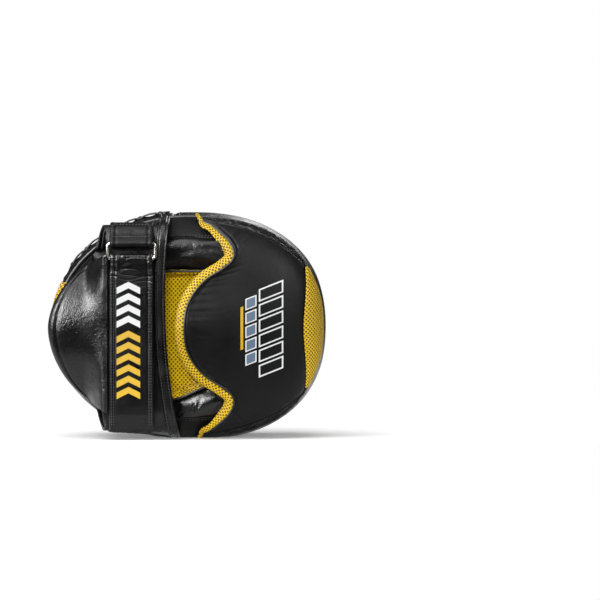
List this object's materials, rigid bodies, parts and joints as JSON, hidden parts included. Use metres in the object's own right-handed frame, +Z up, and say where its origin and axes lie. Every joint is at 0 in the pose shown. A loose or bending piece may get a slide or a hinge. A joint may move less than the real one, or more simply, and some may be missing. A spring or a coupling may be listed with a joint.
{
  "type": "boxing focus mitt",
  "caption": "Thick padded focus mitt, hand compartment with cushioned hood, mesh palm, cuff with ring-and-loop strap and hinged wrist guard, resting on its long edge.",
  "frame": {"origin": "centre of the footprint on the surface it rests on, under the middle of the overall box", "axes": "+X toward the fingertips, +Z up toward the laced edge, -Y toward the hand side, +Y toward the striking face"},
  "size_m": [0.26, 0.178, 0.2135],
  "materials": {
    "gloss_leather": "satin",
    "matte_leather": "matte",
    "yellow_mesh": "matte",
    "black_fabric": "matte",
    "foam": "matte",
    "fibre_board": "matte",
    "ring_steel": "satin"
  },
  "bodies": {
    "mitt": {"striking_face_panel": "gloss_leather", "target_patch": "gloss_leather", "finger_sidewall_panel": "gloss_leather", "wrist_sidewall_panel": "gloss_leather", "upper_bolster": "gloss_leather", "lower_bolster": "gloss_leather", "upper_hood_gusset": "gloss_leather", "lower_hood_gusset": "gloss_leather", "heel_side_cover": "gloss_leather", "cuff_arch_shell": "gloss_leather", "wrist_guard_base": "gloss_leather", "strap_anchor_layer": "gloss_leather", "finger_hood_shell": "matte_leather", "upper_side_wall": "matte_leather", "lower_side_wall": "matte_leather", "cuff_front_binding": "matte_leather", "ring_tab": "matte_leather", "back_cover_panel": "matte_leather", "palm_mesh_cover": "yellow_mesh", "finger_hood_lining": "yellow_mesh", "hood_edge_roll": "yellow_mesh", "finger_end_mesh_panel": "yellow_mesh", "cuff_lining": "black_fabric", "closure_underlay": "black_fabric", "closure_lace": "black_fabric", "loop_fastener_panel": "black_fabric", "impact_foam_layer": "foam", "core_foam_block": "foam", "palm_foam_cushion": "foam", "back_stiffener_board": "fibre_board"},
    "ring": {"square_ring": "ring_steel", "strap_ring_fold": "gloss_leather"},
    "strap_upper": {"strap_upper": "gloss_leather"},
    "strap_tip": {"strap_tip": "gloss_leather", "hook_fastener_patch": "black_fabric"},
    "wrist_guard": {"wrist_guard_flap": "gloss_leather", "wrist_guard_lining": "black_fabric"}
  },
  "joints": [
    {"name": "ring_swing", "type": "hinge", "parent": "mitt", "child": "ring", "pos_m": [-0.05185, -0.0726, 0.184], "axis": [-1, 0, 0], "range_deg": [0, 25]},
    {"name": "strap_peel", "type": "hinge", "parent": "ring", "child": "strap_upper", "pos_m": [-0.05185, -0.0744, 0.161], "axis": [-1, 0, 0], "range_deg": [0, 75]},
    {"name": "strap_tip_peel", "type": "hinge", "parent": "strap_upper", "child": "strap_tip", "pos_m": [-0.05185, -0.0744, 0.09], "axis": [-1, 0, 0], "range_deg": [0, 75]},
    {"name": "wrist_guard_flex", "type": "hinge", "parent": "mitt", "child": "wrist_guard", "pos_m": [-0.09, -0.0744, 0.1045], "axis": [0, 0, 1], "range_deg": [0, 20], "stiffness_Nm_per_rad": 0.3}
  ],
  "couplings": [
    {"joint": "strap_tip_peel", "follows": "strap_peel", "ratio": 1}
  ]
}
